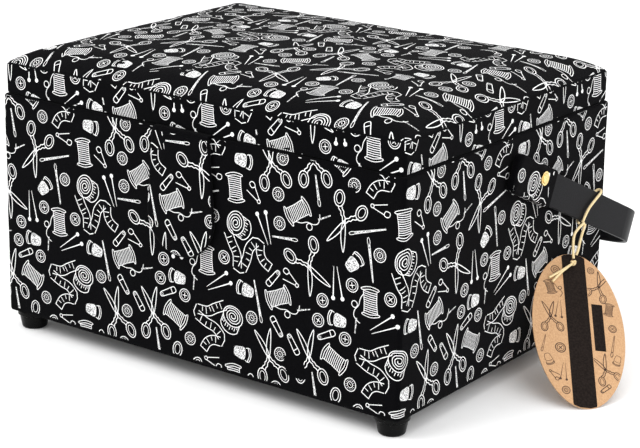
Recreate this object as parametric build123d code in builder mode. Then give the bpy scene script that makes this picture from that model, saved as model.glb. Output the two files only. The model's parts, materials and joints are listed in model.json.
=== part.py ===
"""Fabric-covered sewing box with a padded hinged lid, a bail handle and two lift-out trays.

Frame: origin at the centre of the base's underside, +X to the right, +Z up, and -Y towards
the front, where the closing flap hangs. All lengths are in millimetres.
"""

from build123d import *
import math
import os

# Driving dimensions
WIDTH = 320.0  # over the cover, left to right
DEPTH = 244.0  # over the cover, front to back
BODY_H = 152.0  # underside to rim
LID_BAND = 19.0  # straight band of the lid
CROWN = 16.0  # rise of the padded top above the band
LID_INSET = 1.5  # the lid is this much smaller than the body on each side
CORNER_R = 3.0
FABRIC = 1.0  # printed cover
BOARD = 5.0  # walls and base
LINING = 0.8
TURN_IN = 12.0  # cover turned under the base

FOOT_R = 10.0
FOOT_H = 12.0
FOOT_INSET = 12.0  # foot centre to the side of the body
SCREW_R = 1.75
SCREW_FIT = 0.05  # gap round a screw, a stud or a pin

PIVOT_Z = 128.0  # handle pivot
PIVOT_R = 2.5
DROP_DEG = 24.5  # the handle rests this far below level, behind the box
STRAP_REACH = 208.0  # pivot to the outside of the handle's cross piece
STRAP_W = 22.0
STRAP_T = 3.0
STRAP_OUT = 166.0  # centre of the box to the strap's outer face
STRAP_BEND = 50.0  # outer radius of the handle's two bends
SLEEVE_FROM, SLEEVE_TO = -9.0, 42.0  # along the strap from the pivot
SLEEVE_W = 25.0
SLEEVE_T = 1.5
RIVET_AT = 26.0  # along the strap from the pivot
RIVET_UP = 4.0  # above the strap's centre line
RIVET_R = 4.6

FLAP_X = -5.0  # centre line of the flap
FLAP_W = 54.0
FLAP_L = 80.0
FLAP_T = 2.6
FLAP_GAP = 1.6  # the flap hangs this far in front of the body
MAGNET_R = 7.0

HINGE_X = 95.0  # hinge centres, left and right
HINGE_L = 30.0
LEAF = 1.0
KNUCKLE_R = 2.4
PIN_R = 0.8
KNUCKLES = 5
HINGE_Y = DEPTH / 2 + KNUCKLE_R + 0.2

TRAY_H = 34.0
TRAY_DROP = 6.0  # tray tops lie this far below the rim
TRAY_WALL = 1.6
LEDGE_W = 7.0
LEDGE_H = 6.0

TAG_LENGTH, TAG_WIDTH, TAG_T = 112.0, 62.0, 0.8
TAG_FOOT = Vector(222.9, -5.6, 0.5 - FOOT_H)  # lowest point, on the table
TAG_HOLE = Vector(174.0, 57.8, 57.4)
TAG_FACES = Vector(0.54, -0.36, 0.76)
TAG_HOLE_R = 1.9
TWINE_R = 0.9
LOOP_AT = 94.3  # along the strap from the pivot, at the strap's lower edge

# Worked-out heights and half sizes
HALF_W, HALF_D = WIDTH / 2, DEPTH / 2
INNER_W = WIDTH - 2 * (FABRIC + BOARD)
INNER_D = DEPTH - 2 * (FABRIC + BOARD)
ROOM_W, ROOM_D = INNER_W - 2 * LINING, INNER_D - 2 * LINING
BOARD_TOP = BODY_H - FABRIC
FLOOR_Z = FABRIC + BOARD + LINING
LID_W, LID_D = WIDTH - 2 * LID_INSET, DEPTH - 2 * LID_INSET
BAND_TOP = BODY_H + LID_BAND
RIM_W = 8.0
LID_BOARD = 3.0
TRAY_TOP = BODY_H - TRAY_DROP
TRAY_FOOT = TRAY_TOP - TRAY_H
FOOT_SPOTS = [(x, y) for x in (FOOT_INSET - HALF_W, HALF_W - FOOT_INSET)
              for y in (FOOT_INSET - HALF_D, HALF_D - FOOT_INSET)]
SIDES = {"left": -1, "right": 1}

drop = math.radians(DROP_DEG)
BAIL = Plane(origin=(0, 0, PIVOT_Z), x_dir=(1, 0, 0), z_dir=(0, math.sin(drop), math.cos(drop)))

tag_up = (TAG_HOLE - TAG_FOOT).normalized()
tag_across = tag_up.cross(TAG_FACES).normalized()
tag_out = tag_across.cross(tag_up)
TAG = Plane(origin=TAG_FOOT + tag_up * (TAG_LENGTH / 2), x_dir=tag_across, z_dir=tag_out)


def save(solid, name):
    solid.label = name
    export_step(solid, f"parts/{name}.step")


def block(low, high):
    """A box from its lowest to its highest corner."""
    size = [b - a for a, b in zip(low, high)]
    with BuildPart() as piece:
        with BuildSketch(Plane.XY.offset(low[2])):
            with Locations(((low[0] + high[0]) / 2, (low[1] + high[1]) / 2)):
                Rectangle(size[0], size[1])
        extrude(amount=size[2])
    return piece.part


def slab(width, depth, radius, low, high):
    """A centred block with rounded corners, between two heights."""
    with BuildPart() as piece:
        with BuildSketch(Plane.XY.offset(low)):
            RectangleRounded(width, depth, radius)
        extrude(amount=high - low)
    return piece.part


def turned(centre, axis, discs):
    """Cylinders (from, to, radius) along an axis through centre."""
    with BuildPart() as piece:
        for start, end, radius in discs:
            with BuildSketch(Plane(origin=centre + axis * start, z_dir=axis)):
                Circle(radius)
            extrude(amount=end - start)
    return piece.part


def tube(points, radii):
    """Round twine along straight runs joined by tangent arcs."""
    with BuildPart() as piece:
        with BuildLine() as route:
            FilletPolyline(*points, radius=radii)
        with BuildSketch(Plane(origin=route.wire() @ 0, z_dir=route.wire() % 0)):
            Circle(TWINE_R)
        sweep(path=route.wire())
    length = route.wire().length
    section = math.pi * TWINE_R**2
    print(f"twine {length:.1f} mm, radii {[round(r, 1) for r in radii]},"
          f" volume over section times length {piece.part.volume / section / length:.3f}")
    return piece.part


def corner_radius(before, at, after):
    """0.45 of the shorter run, divided by the tangent of half the turn."""
    turn = math.radians((at - before).get_angle(after - at))
    return 0.45 * min((at - before).length, (after - at).length) / math.tan(turn / 2)


def stud_line(side):
    return Vector(0, 0, PIVOT_Z), Vector(side, 0, 0)


# ---------------------------------------------------------------- body
def make_walls():
    """Four boards: the side boards stand between the front and back boards."""
    out_y, in_y = HALF_D - FABRIC, HALF_D - FABRIC - BOARD
    half = HALF_W - FABRIC
    for name, side in (("front_wall", -1), ("back_wall", 1)):
        low_y, high_y = sorted((side * out_y, side * in_y))
        with BuildPart() as wall:
            add(block((-half, low_y, FABRIC), (half, high_y, BOARD_TOP)))
            outer = wall.edges().filter_by(Axis.Z).sort_by(Axis.Y)
            fillet(outer[:2] if side < 0 else outer[-2:], CORNER_R - FABRIC)
            if side > 0:
                for x in hinge_screw_x():
                    with BuildSketch(Plane.XY.offset(BOARD_TOP - 9)):
                        with Locations((x, HALF_D - FABRIC - BOARD / 2)):
                            Circle(1.1 + SCREW_FIT)
                    extrude(amount=9, mode=Mode.SUBTRACT)
        save(wall.part, name)
    for name, side in SIDES.items():
        low_x, high_x = sorted((side * (half - BOARD), side * half))
        with BuildPart() as wall:
            add(block((low_x, -in_y, FABRIC), (high_x, in_y, BOARD_TOP)))
            add(turned(*stud_line(side), [(half - BOARD, half, PIVOT_R + SCREW_FIT)]),
                mode=Mode.SUBTRACT)
        save(wall.part, f"{name}_wall")


def make_base():
    with BuildPart() as board:
        add(slab(INNER_W, INNER_D, 0.5, FABRIC, FABRIC + BOARD))
        with BuildSketch(Plane.XY.offset(FABRIC)):
            with Locations(*FOOT_SPOTS):
                Circle(SCREW_R + SCREW_FIT)
        extrude(amount=4, mode=Mode.SUBTRACT)
    save(board.part, "base_board")

    with BuildPart() as under:
        add(slab(WIDTH - 2 * TURN_IN - 1, DEPTH - 2 * TURN_IN - 1, 2, 0, FABRIC))
        with BuildSketch():
            with Locations(*FOOT_SPOTS):
                Circle(FOOT_R + 2.5)
        extrude(amount=FABRIC, mode=Mode.SUBTRACT)
    save(under.part, "base_cover")


def make_body_cover():
    """Printed skin: outside of the walls, turned over the rim and under the base."""
    with BuildPart() as cover:
        add(slab(WIDTH, DEPTH, CORNER_R, 0, BODY_H))
        add(slab(WIDTH - 2 * FABRIC, DEPTH - 2 * FABRIC, CORNER_R - FABRIC, FABRIC, BOARD_TOP),
            mode=Mode.SUBTRACT)
        add(slab(INNER_W, INNER_D, 0.5, BOARD_TOP, BODY_H), mode=Mode.SUBTRACT)
        add(slab(WIDTH - 2 * TURN_IN, DEPTH - 2 * TURN_IN, 2, 0, FABRIC), mode=Mode.SUBTRACT)
        with BuildSketch():
            with Locations(*FOOT_SPOTS):
                Circle(SCREW_R + SCREW_FIT)
        extrude(amount=FABRIC, mode=Mode.SUBTRACT)
        for side in SIDES.values():
            add(turned(*stud_line(side), [(HALF_W - FABRIC, HALF_W, PIVOT_R + SCREW_FIT)]),
                mode=Mode.SUBTRACT)
            add(leaf_seat(side, BOARD_TOP, BODY_H, HALF_D - FABRIC - BOARD, HALF_D),
                mode=Mode.SUBTRACT)
    save(cover.part, "body_cover")


def make_body_lining():
    """Satin on the inside of the walls and the floor."""
    with BuildPart() as lining:
        add(slab(INNER_W, INNER_D, 0.5, FABRIC + BOARD, BOARD_TOP))
        add(slab(ROOM_W, ROOM_D, 0.3, FLOOR_Z, BOARD_TOP), mode=Mode.SUBTRACT)
        for side in SIDES.values():
            add(turned(*stud_line(side), [(ROOM_W / 2, INNER_W / 2, PIVOT_R + SCREW_FIT)]),
                mode=Mode.SUBTRACT)
    save(lining.part, "body_lining")


def make_ledges():
    """Two rails that the trays stand on."""
    half = ROOM_W / 2 - 0.4
    for name, side in (("ledge_front", -1), ("ledge_back", 1)):
        low_y, high_y = sorted((side * ROOM_D / 2, side * (ROOM_D / 2 - LEDGE_W)))
        with BuildPart() as ledge:
            add(block((-half, low_y, TRAY_FOOT - LEDGE_H), (half, high_y, TRAY_FOOT)))
            inner = ledge.edges().filter_by(Axis.X).sort_by(Axis.Y)
            fillet(inner[-2:] if side < 0 else inner[:2], 1.0)
        save(ledge.part, name)


def make_feet():
    """Moulded feet with a collar, each held by one screw from below."""
    names = ["foot_front_left", "foot_back_left", "foot_front_right", "foot_back_right"]
    for name, (x, y) in zip(names, FOOT_SPOTS):
        with BuildPart() as foot:
            with BuildSketch(Plane(origin=(x, y, 0), x_dir=(1, 0, 0), z_dir=(0, -1, 0))):
                with BuildLine():
                    Polyline((0, 0), (FOOT_R + 1.2, 0), (FOOT_R + 1.2, -2.4), (FOOT_R, -3.4),
                             (FOOT_R - 1.6, -FOOT_H), (0, -FOOT_H), close=True)
                make_face()
            revolve(axis=Axis((x, y, 0), (0, 0, 1)))
            rings = foot.edges().filter_by(GeomType.CIRCLE).sort_by(Axis.Z)
            fillet(rings[0], 1.4)
            with BuildSketch(Plane.XY.offset(-FOOT_H)):
                with Locations((x, y)):
                    Circle(4.3)
            extrude(amount=4.5, mode=Mode.SUBTRACT)
            with BuildSketch(Plane.XY.offset(-FOOT_H)):
                with Locations((x, y)):
                    Circle(SCREW_R + SCREW_FIT)
            extrude(amount=FOOT_H, mode=Mode.SUBTRACT)
        save(foot.part, name)

    with BuildPart() as screws:
        for start, length, radius in ((-9.6, 2.1, 3.6), (-7.5, 12.0, SCREW_R)):
            with BuildSketch(Plane.XY.offset(start)):
                with Locations(*FOOT_SPOTS):
                    Circle(radius)
            extrude(amount=length)
    save(screws.part, "foot_screws")


def make_studs():
    """Posts that the handle turns on: a washer head inside, a thin head in the strap."""
    for name, side in SIDES.items():
        stud = turned(*stud_line(side), [
            (ROOM_W / 2 - 1.5, ROOM_W / 2, 7.0),
            (ROOM_W / 2 - 0.1, STRAP_OUT - 1.2, PIVOT_R),
            (STRAP_OUT - 1.2, STRAP_OUT - 0.1, 5.0)])
        save(stud, f"pivot_stud_{name}")


# -------------------------------------------------------------- hinges
def hinge_screw_x():
    return [side * HINGE_X + step for side in SIDES.values() for step in (-9.0, 9.0)]


def leaf_seat(side, low_z, high_z, low_y, high_y):
    """Room for a hinge leaf in the cover's edge."""
    centre, half = side * HINGE_X, HINGE_L / 2 + 0.1
    return block((centre - half, low_y, low_z), (centre + half, high_y, high_z))


def make_leaf(side, owner, plate_y, plate_z, screw_y):
    """One leaf with its knuckles; even knuckles belong to the body, odd ones to the lid."""
    centre, step = side * HINGE_X, HINGE_L / KNUCKLES
    low_z, high_z = plate_z
    first = 0 if owner == "body" else 1
    with BuildPart() as leaf:
        add(block((centre - HINGE_L / 2, plate_y, low_z), (centre + HINGE_L / 2, HALF_D, high_z)))
        for i in range(first, KNUCKLES, 2):
            left = centre - HINGE_L / 2 + i * step + 0.15
            right = left + step - 0.3
            add(block((left, HALF_D - 0.5, low_z), (right, HINGE_Y, high_z)))
            add(turned(Vector(0, HINGE_Y, BODY_H), Vector(1, 0, 0), [(left, right, KNUCKLE_R)]))
        add(turned(Vector(0, HINGE_Y, BODY_H), Vector(1, 0, 0),
                   [(centre - HINGE_L, centre + HINGE_L, PIN_R + SCREW_FIT)]), mode=Mode.SUBTRACT)
        for x in (centre - 9.0, centre + 9.0):
            up = Vector(0, 0, 1 if owner == "body" else -1)
            start = Vector(x, screw_y, low_z if owner == "body" else high_z)
            add(turned(start, up, [(0, LEAF, 1.1 + SCREW_FIT), (LEAF - 0.6, LEAF, 2.1)]),
                mode=Mode.SUBTRACT)
    save(leaf.part, f"hinge_leaf_{owner}_{'left' if side < 0 else 'right'}")


def make_hinges():
    body_y = HALF_D - FABRIC - BOARD + 0.2
    lid_y = LID_D / 2 - FABRIC - RIM_W + 0.5
    body_screw_y = HALF_D - FABRIC - BOARD / 2
    lid_screw_y = LID_D / 2 - FABRIC - RIM_W / 2
    for name, side in SIDES.items():
        make_leaf(side, "body", body_y, (BODY_H - LEAF, BODY_H), body_screw_y)
        make_leaf(side, "lid", lid_y, (BODY_H, BODY_H + LEAF), lid_screw_y)
        reach = HINGE_L / 2 - 0.2
        pin = turned(Vector(side * HINGE_X, HINGE_Y, BODY_H), Vector(1, 0, 0),
                     [(-reach, reach, PIN_R)])
        save(pin, f"hinge_pin_{name}")

    for owner, y, face, way in (("body", body_screw_y, BODY_H, -1),
                                ("lid", lid_screw_y, BODY_H, 1)):
        with BuildPart() as screws:
            for x in hinge_screw_x():
                add(turned(Vector(x, y, face), Vector(0, 0, way),
                           [(0.1, 0.55, 2.0), (0.5, 9.0, 1.1)]))
        save(screws.part, f"hinge_screws_{owner}")


# ----------------------------------------------------------------- lid
def crowned(width, depth, radius, floor, grow):
    """A block whose top is padded: steep shoulders and a flat crown, both ways."""
    run, rise, beyond = 34.0, 0.76 * CROWN, 1.5
    top, root = BAND_TOP + grow, floor - 5.0
    with BuildPart() as piece:
        for plane, half, mode in ((Plane.XZ, width / 2 + beyond, Mode.ADD),
                                  (Plane.YZ, depth / 2 + beyond, Mode.INTERSECT)):
            with BuildSketch(plane):
                with BuildLine():
                    Line((-half, root), (half, root))
                    for s in (-1, 1):
                        Line((s * half, root), (s * half, BAND_TOP))
                        ThreePointArc((s * half, BAND_TOP),
                                      (s * (half - 0.36 * run), top + 0.56 * rise),
                                      (s * (half - run), top + rise))
                    ThreePointArc((run - half, top + rise), (0, top + CROWN),
                                  (half - run, top + rise))
                make_face()
            extrude(amount=WIDTH, both=True, mode=mode)
        with BuildSketch(Plane.XY.offset(floor)):
            RectangleRounded(width, depth, radius)
        extrude(amount=LID_BAND * 3, mode=Mode.INTERSECT)
    return piece.part


def make_lid():
    half_w, half_d = LID_W / 2 - FABRIC, LID_D / 2 - FABRIC
    low, high = BODY_H + FABRIC, BAND_TOP - LID_BOARD
    save(slab(2 * half_w, 2 * half_d, CORNER_R - FABRIC, high, BAND_TOP), "lid_board")

    for name, side in (("lid_rim_front", -1), ("lid_rim_back", 1)):
        low_y, high_y = sorted((side * half_d, side * (half_d - RIM_W)))
        with BuildPart() as rim:
            add(block((-half_w, low_y, low), (half_w, high_y, high)))
            outer = rim.edges().filter_by(Axis.Z).sort_by(Axis.Y)
            fillet(outer[:2] if side < 0 else outer[-2:], CORNER_R - FABRIC)
            if side > 0:
                for x in hinge_screw_x():
                    add(turned(Vector(x, half_d - RIM_W / 2, low), Vector(0, 0, 1),
                               [(0, 9.0, 1.1 + SCREW_FIT)]), mode=Mode.SUBTRACT)
        save(rim.part, name)
    for name, side in SIDES.items():
        low_x, high_x = sorted((side * half_w, side * (half_w - RIM_W)))
        save(block((low_x, RIM_W - half_d, low), (high_x, half_d - RIM_W, high)), f"lid_rim_{name}")

    radius = CORNER_R - FABRIC
    save(crowned(2 * half_w, 2 * half_d, radius, BAND_TOP, 0), "lid_pad")

    with BuildPart() as cover:
        add(crowned(LID_W, LID_D, CORNER_R, BODY_H, FABRIC))
        add(crowned(2 * half_w, 2 * half_d, radius, low, 0), mode=Mode.SUBTRACT)
        add(slab(2 * (half_w - RIM_W), 2 * (half_d - RIM_W), 0.5, BODY_H, low), mode=Mode.SUBTRACT)
        for side in SIDES.values():
            add(leaf_seat(side, BODY_H, low, half_d - RIM_W, LID_D / 2), mode=Mode.SUBTRACT)
    save(cover.part, "lid_cover")


def make_lid_inside():
    """Padded satin panel in the lid's recess, with a gathered pocket and a pin cushion."""
    panel_low, panel_high = BAND_TOP - LID_BOARD - 5.0, BAND_TOP - LID_BOARD
    wide = LID_W - 2 * (FABRIC + RIM_W)
    deep = LID_D - 2 * (FABRIC + RIM_W)
    with BuildPart() as lining:
        add(slab(wide, deep, 0.5, BODY_H + FABRIC, panel_high))
        add(slab(wide - 2 * LINING, deep - 2 * LINING, 0.3, BODY_H + FABRIC, panel_low),
            mode=Mode.SUBTRACT)
    save(lining.part, "lid_lining")

    low, high = (-136.0, -78.0, panel_low - 8.0), (58.0, 22.0, panel_low)
    with BuildPart() as pocket:
        add(block(low, high))
        fillet(pocket.edges().filter_by(Axis.Y).group_by(Axis.Z)[0], 3.0)
        add(block((low[0] + 1, low[1], low[2] + 1), (high[0] - 1, high[1] - 1, high[2] - 0.6)),
            mode=Mode.SUBTRACT)
    save(pocket.part, "lid_pocket")

    with BuildPart() as cushion:
        add(block((82.0, -74.0, panel_low - 9.0), (138.0, -4.0, panel_low)))
        fillet(cushion.edges().filter_by(Axis.Z), 10.0)
        fillet(cushion.faces().sort_by(Axis.Z)[0].edges(), 5.0)
    save(cushion.part, "pin_cushion")


# ---------------------------------------------------------------- flap
def make_flap():
    """Closing flap with a round end; a magnet inside it meets a steel disc on the body."""
    face_y = -HALF_D - FLAP_GAP
    top, low = BODY_H - 1.0, BODY_H - 1.0 - FLAP_L
    magnet_z = low + FLAP_W / 2
    with BuildPart() as flap:
        with BuildSketch(Plane(origin=(FLAP_X, face_y, 0), x_dir=(1, 0, 0), z_dir=(0, -1, 0))):
            with BuildLine():
                half = FLAP_W / 2
                Polyline((-half, low + half), (4 - half, top), (half - 4, top), (half, low + half))
                ThreePointArc((-half, low + half), (0, low), (half, low + half))
            make_face()
        extrude(amount=FLAP_T)
        fillet(flap.faces().sort_by(Axis.Y)[0].edges(), 0.8)
        add(turned(Vector(FLAP_X, face_y, magnet_z), Vector(0, -1, 0), [(0, 1.7, MAGNET_R)]),
            mode=Mode.SUBTRACT)
    save(flap.part, "flap_fabric")
    save(turned(Vector(FLAP_X, face_y, magnet_z), Vector(0, -1, 0), [(0, 1.6, MAGNET_R - 0.1)]),
         "flap_magnet")
    save(turned(Vector(FLAP_X, -HALF_D, magnet_z), Vector(0, -1, 0), [(0, 1.2, MAGNET_R)]),
         "clasp_plate")


# -------------------------------------------------------------- handle
def along_strap(x, s, t=0.0):
    return BAIL.from_local_coords(Vector(x, s, t))


def make_strap():
    """One leather band bent into a U; its ends turn on the two studs."""
    with BuildPart() as strap:
        with BuildSketch(BAIL.offset(-STRAP_W / 2)):
            with BuildLine():
                FilletPolyline((-STRAP_OUT, -6), (-STRAP_OUT, STRAP_REACH),
                               (STRAP_OUT, STRAP_REACH), (STRAP_OUT, -6), radius=STRAP_BEND)
                inner_x, inner_s = STRAP_OUT - STRAP_T, STRAP_REACH - STRAP_T
                FilletPolyline((-inner_x, -6), (-inner_x, inner_s), (inner_x, inner_s),
                               (inner_x, -6), radius=STRAP_BEND - STRAP_T)
                for side in SIDES.values():
                    Line((side * STRAP_OUT, -6), (side * inner_x, -6))
            make_face()
        extrude(amount=STRAP_W)
        rims = strap.faces().sort_by(Axis((0, 0, 0), BAIL.z_dir))
        fillet(rims[0].edges() + rims[-1].edges(), 0.7)
        for side in SIDES.values():
            post, way = stud_line(side)
            add(turned(post, way, [(inner_x - 1, STRAP_OUT + 1, PIVOT_R + SCREW_FIT),
                                   (STRAP_OUT - 1.3, STRAP_OUT + 1, 5.3)]), mode=Mode.SUBTRACT)
            add(turned(along_strap(0, RIVET_AT, RIVET_UP), way,
                       [(inner_x - 1, STRAP_OUT + 1, PIVOT_R + SCREW_FIT)]), mode=Mode.SUBTRACT)
    save(strap.part, "handle_strap")


def make_sleeves():
    """Printed fabric sleeve round each end of the strap, held by a brass rivet."""
    inside, outside = STRAP_OUT - STRAP_T - 0.3, STRAP_OUT + 0.3
    low_x, high_x = inside - SLEEVE_T, outside + SLEEVE_T
    for name, side in SIDES.items():
        post, way = stud_line(side)
        spot = along_strap(0, RIVET_AT, RIVET_UP)
        with BuildPart() as sleeve:
            with BuildSketch(BAIL.offset(-SLEEVE_W / 2)):
                with Locations((side * (low_x + high_x) / 2, (SLEEVE_FROM + SLEEVE_TO) / 2)):
                    Rectangle(high_x - low_x, SLEEVE_TO - SLEEVE_FROM)
            extrude(amount=SLEEVE_W)
            fillet(sleeve.edges().filter_by(Axis.X).group_by(Axis.Y)[0], 3.0)
            with BuildSketch(BAIL.offset(-STRAP_W / 2 - 0.3)):
                with Locations((side * (inside + outside) / 2, (SLEEVE_FROM + SLEEVE_TO + 3) / 2)):
                    Rectangle(outside - inside, SLEEVE_TO - SLEEVE_FROM)
            extrude(amount=STRAP_W + 0.6, mode=Mode.SUBTRACT)
            add(turned(post, way, [(low_x - 1, inside + 0.5, 3.0)]), mode=Mode.SUBTRACT)
            add(turned(spot, way, [(low_x - 1, high_x + 1, PIVOT_R + SCREW_FIT)]),
                mode=Mode.SUBTRACT)
        save(sleeve.part, f"handle_sleeve_{name}")

        with BuildPart() as rivet:
            add(turned(spot, way, [(low_x - 0.7, low_x, RIVET_R - 0.4),
                                   (low_x - 0.1, high_x + 0.1, PIVOT_R),
                                   (high_x, high_x + 0.9, RIVET_R),
                                   (high_x + 0.9, high_x + 1.6, RIVET_R - 1.3)]))
            add(turned(spot, way, [(low_x - 2, high_x, 1.5)]), mode=Mode.SUBTRACT)
            caps = rivet.faces().filter_by(Plane.YZ).sort_by(Axis.X)
            fillet((caps[-1] if side > 0 else caps[0]).outer_wire().edges(), 0.6)
        save(rivet.part, f"handle_rivet_{name}")


def make_loop():
    """Twine round the strap, from its lower edge up the outside and down the inside."""
    gap = TWINE_R + 0.15
    outer, inner = STRAP_OUT + gap - 0.1, STRAP_OUT - STRAP_T - 1.5
    up, down = STRAP_W / 2 + gap, -STRAP_W / 2 - gap
    points = [along_strap(*p) for p in (
        (outer, LOOP_AT, down), (outer + 0.5, LOOP_AT + 0.6, -4.0), (outer + 0.5, LOOP_AT + 8.0, 5.0),
        (outer, LOOP_AT + 17.0, up + 1.4), (inner, LOOP_AT + 17.6, up + 1.6),
        (inner - 0.4, LOOP_AT + 9.0, 1.0), (inner, LOOP_AT + 0.8, down - 0.6),
        (outer - 2.2, LOOP_AT - 0.2, down - 0.7))]
    radii = [corner_radius(*points[i - 1:i + 2]) for i in range(1, len(points) - 1)]
    edge_radius = 2.0
    radii[2] = radii[3] = edge_radius
    radii[5] = 1.2
    save(tube(points, radii), "string_loop")


# ----------------------------------------------------------------- tag
def on_tag(across, up, out):
    """A point by its place from the tag's hole."""
    return TAG_HOLE + tag_across * across + tag_up * up + tag_out * out


def make_tag():
    with BuildPart() as card:
        with BuildSketch(TAG.offset(-TAG_T / 2)):
            Ellipse(TAG_WIDTH / 2, TAG_LENGTH / 2)
            with Locations(TAG.to_local_coords(TAG_HOLE)):
                Circle(TAG_HOLE_R, mode=Mode.SUBTRACT)
        extrude(amount=TAG_T)
    save(card.part, "tag_card")

    strap_edge = along_strap(STRAP_OUT + 2.95, LOOP_AT + 0.3, -STRAP_W / 2 - 1.7)
    front = [strap_edge, Vector(170.0, 74.0, 70.6), on_tag(4.6, 8.6, -2.5), on_tag(0.3, 1.2, -1.9)]
    back = [strap_edge + Vector(0.3, -2.2, 1.4), Vector(169.4, 71.4, 77.6),
            Vector(170.6, 61.0, 73.2), on_tag(-0.6, 1.6, 3.0)]
    for name, points in (("string_front", front), ("string_back", back)):
        radii = [corner_radius(*points[i - 1:i + 2]) for i in range(1, len(points) - 1)]
        save(tube(points, radii), name)

    knot_r, tail_length = 2.3, 21.5
    centre = on_tag(-0.8, -1.6, TAG_T / 2 + knot_r + 0.1)
    with BuildPart() as knot:
        with BuildSketch(Plane(origin=centre, x_dir=tag_across, z_dir=tag_up)):
            with BuildLine():
                ThreePointArc((0, -knot_r), (knot_r, 0), (0, knot_r))
                Line((0, knot_r), (0, -knot_r))
            make_face()
        revolve(axis=Axis(centre, tag_out))
        add(turned(on_tag(0, 0, 0), tag_out, [(-0.9, 1.5, 1.3)]))
        for across, up in ((-15.5, -15.4), (-17.3, -12.9)):
            way = (tag_across * across + tag_up * up - tag_out).normalized()
            add(turned(centre, way, [(0, tail_length, 0.8)]))
    save(knot.part, "string_knot")


# --------------------------------------------------------------- trays
def tray_cells(columns, rows):
    """Cell centres and sizes for columns of given shares, each cut into equal rows."""
    width, depth = tray_size()
    free = width - TRAY_WALL * (len(columns) + 1)
    x, cells = -width / 2, []
    for share, count in zip(columns, rows):
        wide = free * share / sum(columns)
        deep = (depth - TRAY_WALL * (count + 1)) / count
        for row in range(count):
            y = -depth / 2 + TRAY_WALL + deep / 2 + row * (deep + TRAY_WALL)
            cells.append((x + TRAY_WALL + wide / 2, y, wide, deep))
        x += wide + TRAY_WALL
    return cells


def tray_size():
    return ROOM_W / 2 - 2.8, ROOM_D - 1.6


def make_tray(name, centre_x, cells):
    """Moulded tray with rounded compartments and two finger notches."""
    width, depth = tray_size()
    with BuildPart() as tray:
        with BuildSketch(Plane.XY.offset(TRAY_FOOT)):
            with Locations((centre_x, 0)):
                RectangleRounded(width, depth, 6)
        extrude(amount=TRAY_H)
        fillet(tray.faces().sort_by(Axis.Z)[0].edges(), 2.0)
        for x, y, wide, deep in cells:
            with BuildSketch(Plane.XY.offset(TRAY_FOOT + TRAY_WALL)):
                with Locations((centre_x + x, y)):
                    RectangleRounded(wide, deep, 5)
            extrude(amount=TRAY_H, mode=Mode.SUBTRACT)
        for side in SIDES.values():
            with BuildSketch(Plane.YZ.offset(centre_x + side * (width / 2 - 3))):
                with Locations((0, TRAY_TOP)):
                    SlotOverall(34, 18)
            extrude(amount=6, both=True, mode=Mode.SUBTRACT)
    save(tray.part, name)


def make_trays():
    width, _ = tray_size()
    off = width / 2 + 0.6
    make_tray("tray_left", -off, tray_cells([1, 1], [3, 2]))
    make_tray("tray_right", off, tray_cells([1, 1], [1, 4]))


os.makedirs("parts", exist_ok=True)
make_walls()
make_base()
make_body_cover()
make_body_lining()
make_ledges()
make_feet()
make_studs()
make_hinges()
make_lid()
make_lid_inside()
make_flap()
make_strap()
make_sleeves()
make_loop()
make_tag()
make_trays()
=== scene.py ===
"""Looks of a fabric-covered sewing box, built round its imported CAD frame.

Shapes are in millimetres, in the frame's own axes, until make_mesh() and twine() turn them into
metres. The print is a seeded repeat of drawings of sewing things, laid on the cloth as thin ink.
"""

import json
import math
import random

import bmesh
import bpy
import numpy as np
from mathutils import Matrix, Vector, noise
from mathutils.bvhtree import BVHTree


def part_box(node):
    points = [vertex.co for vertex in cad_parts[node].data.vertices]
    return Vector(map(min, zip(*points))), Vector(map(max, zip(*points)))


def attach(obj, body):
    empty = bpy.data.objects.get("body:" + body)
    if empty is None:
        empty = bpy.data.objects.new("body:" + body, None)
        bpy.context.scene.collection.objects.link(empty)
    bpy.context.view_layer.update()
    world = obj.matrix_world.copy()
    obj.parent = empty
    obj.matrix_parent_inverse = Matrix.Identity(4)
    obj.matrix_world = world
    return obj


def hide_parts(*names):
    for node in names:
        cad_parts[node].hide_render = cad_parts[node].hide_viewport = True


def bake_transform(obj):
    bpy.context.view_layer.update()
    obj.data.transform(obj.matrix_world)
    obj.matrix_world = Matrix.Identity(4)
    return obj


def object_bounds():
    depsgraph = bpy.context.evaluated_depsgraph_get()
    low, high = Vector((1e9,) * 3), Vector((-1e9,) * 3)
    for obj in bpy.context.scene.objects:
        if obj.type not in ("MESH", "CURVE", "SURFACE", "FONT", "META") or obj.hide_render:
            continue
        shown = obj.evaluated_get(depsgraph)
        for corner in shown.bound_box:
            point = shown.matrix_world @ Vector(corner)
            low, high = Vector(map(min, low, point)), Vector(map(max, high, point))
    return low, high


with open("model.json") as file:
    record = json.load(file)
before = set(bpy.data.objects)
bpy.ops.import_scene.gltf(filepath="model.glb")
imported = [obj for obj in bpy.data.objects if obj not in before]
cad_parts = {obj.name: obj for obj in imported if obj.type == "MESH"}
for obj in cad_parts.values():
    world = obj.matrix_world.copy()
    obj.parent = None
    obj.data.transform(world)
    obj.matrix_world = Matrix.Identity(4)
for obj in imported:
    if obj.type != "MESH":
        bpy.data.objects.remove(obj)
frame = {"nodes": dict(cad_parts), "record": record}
cad_low, cad_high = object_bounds()

MM = 0.001


def box_mm(node):
    """Lowest and highest corner of a CAD node, in millimetres."""
    low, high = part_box(node)
    return np.array(low) / MM, np.array(high) / MM


BODY_HIGH = box_mm("body_cover")[1]
LID_LOW, LID_HIGH = box_mm("lid_cover")
FLAP_LOW, FLAP_HIGH = box_mm("flap_fabric")
CORNER_R = 3.0
LID_EDGE_Z = box_mm("lid_board")[1][2]  # the lid's straight band ends 1 mm above its board
CROWN = LID_HIGH[2] - LID_EDGE_Z - 1.0
REPEAT = 124.8  # the print's repeat, both ways
PLAIN_FOOT_AND_SHADE = 3.2  # the print stops this far above the base: the cloth is plain where it turns under, and this plain black edge is also painted shade along the bottom

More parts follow.
